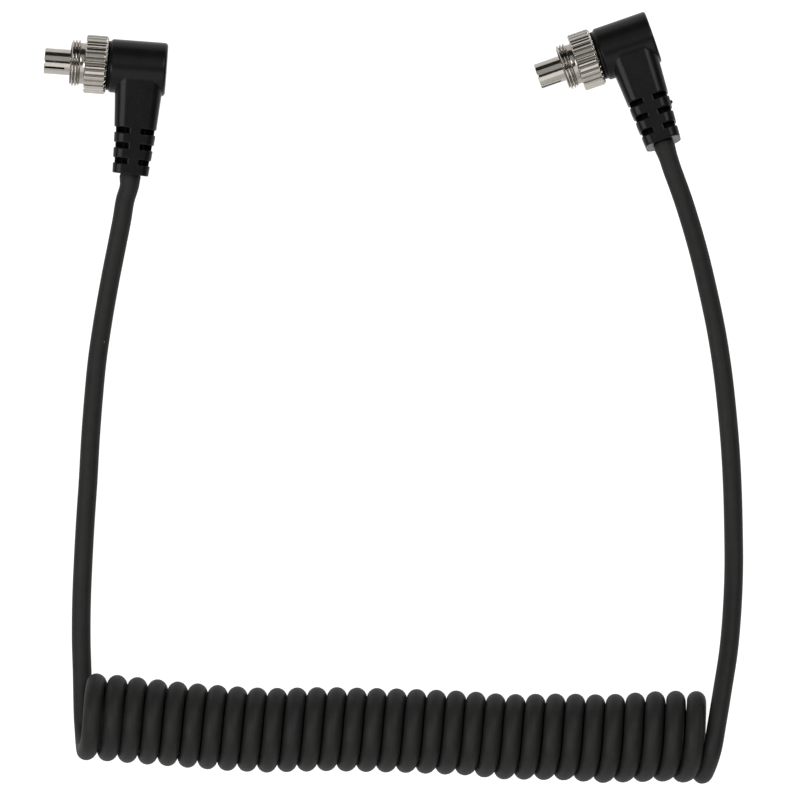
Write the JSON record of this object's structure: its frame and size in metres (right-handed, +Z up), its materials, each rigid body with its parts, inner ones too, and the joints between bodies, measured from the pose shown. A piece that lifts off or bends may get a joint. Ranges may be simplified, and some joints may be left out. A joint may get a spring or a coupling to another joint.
{
  "type": "flash sync cord",
  "caption": "Short coiled flash sync cord with a right-angle coaxial plug on each end, each with a slit contact sleeve and a knurled screw-lock ring.",
  "frame": {"origin": "on the surface the cord lies on, midway between the two plugs: the centre of the box round both plugs, at its bottom", "axes": "+X from plug a towards plug b; +Y away from the coil, so the coil lies on the -Y side; +Z up, away from the surface the cord lies on"},
  "size_m": [0.0979, 0.1075, 0.0118],
  "materials": {
    "nickel_plate": "polished",
    "gilt_brass": "satin",
    "insulator_plastic": "satin",
    "overmould_pvc": "satin",
    "inner_mould_plastic": "matte",
    "core_insulation": "satin",
    "shield_copper": "satin",
    "cord_jacket": "matte"
  },
  "bodies": {
    "cord_and_plugs": {"plug_a_contact_sleeve": "nickel_plate", "plug_a_insulator": "insulator_plastic", "plug_a_centre_pin": "gilt_brass", "plug_a_overmould": "overmould_pvc", "plug_a_inner_mould": "inner_mould_plastic", "plug_a_core_wire": "core_insulation", "plug_a_shield_tail": "shield_copper", "plug_a_cord_tail": "cord_jacket", "plug_b_contact_sleeve": "nickel_plate", "plug_b_insulator": "insulator_plastic", "plug_b_centre_pin": "gilt_brass", "plug_b_overmould": "overmould_pvc", "plug_b_inner_mould": "inner_mould_plastic", "plug_b_core_wire": "core_insulation", "plug_b_shield_tail": "shield_copper", "plug_b_cord_tail": "cord_jacket", "cord_lead_a": "cord_jacket", "cord_coil": "cord_jacket", "cord_lead_b": "cord_jacket"},
    "lock_ring_a": {"plug_a_lock_ring": "nickel_plate"},
    "lock_ring_b": {"plug_b_lock_ring": "nickel_plate"}
  },
  "joints": [
    {"name": "lock_ring_a_turn", "type": "hinge", "parent": "cord_and_plugs", "child": "lock_ring_a", "pos_m": [-0.03119, 0.00368, 0.004], "axis": [-0.9972, 0.075, 0], "continuous": true},
    {"name": "lock_ring_b_turn", "type": "hinge", "parent": "cord_and_plugs", "child": "lock_ring_b", "pos_m": [0.03719, 0.00673, 0.004], "axis": [-0.9444, -0.3289, 0], "continuous": true}
  ]
}
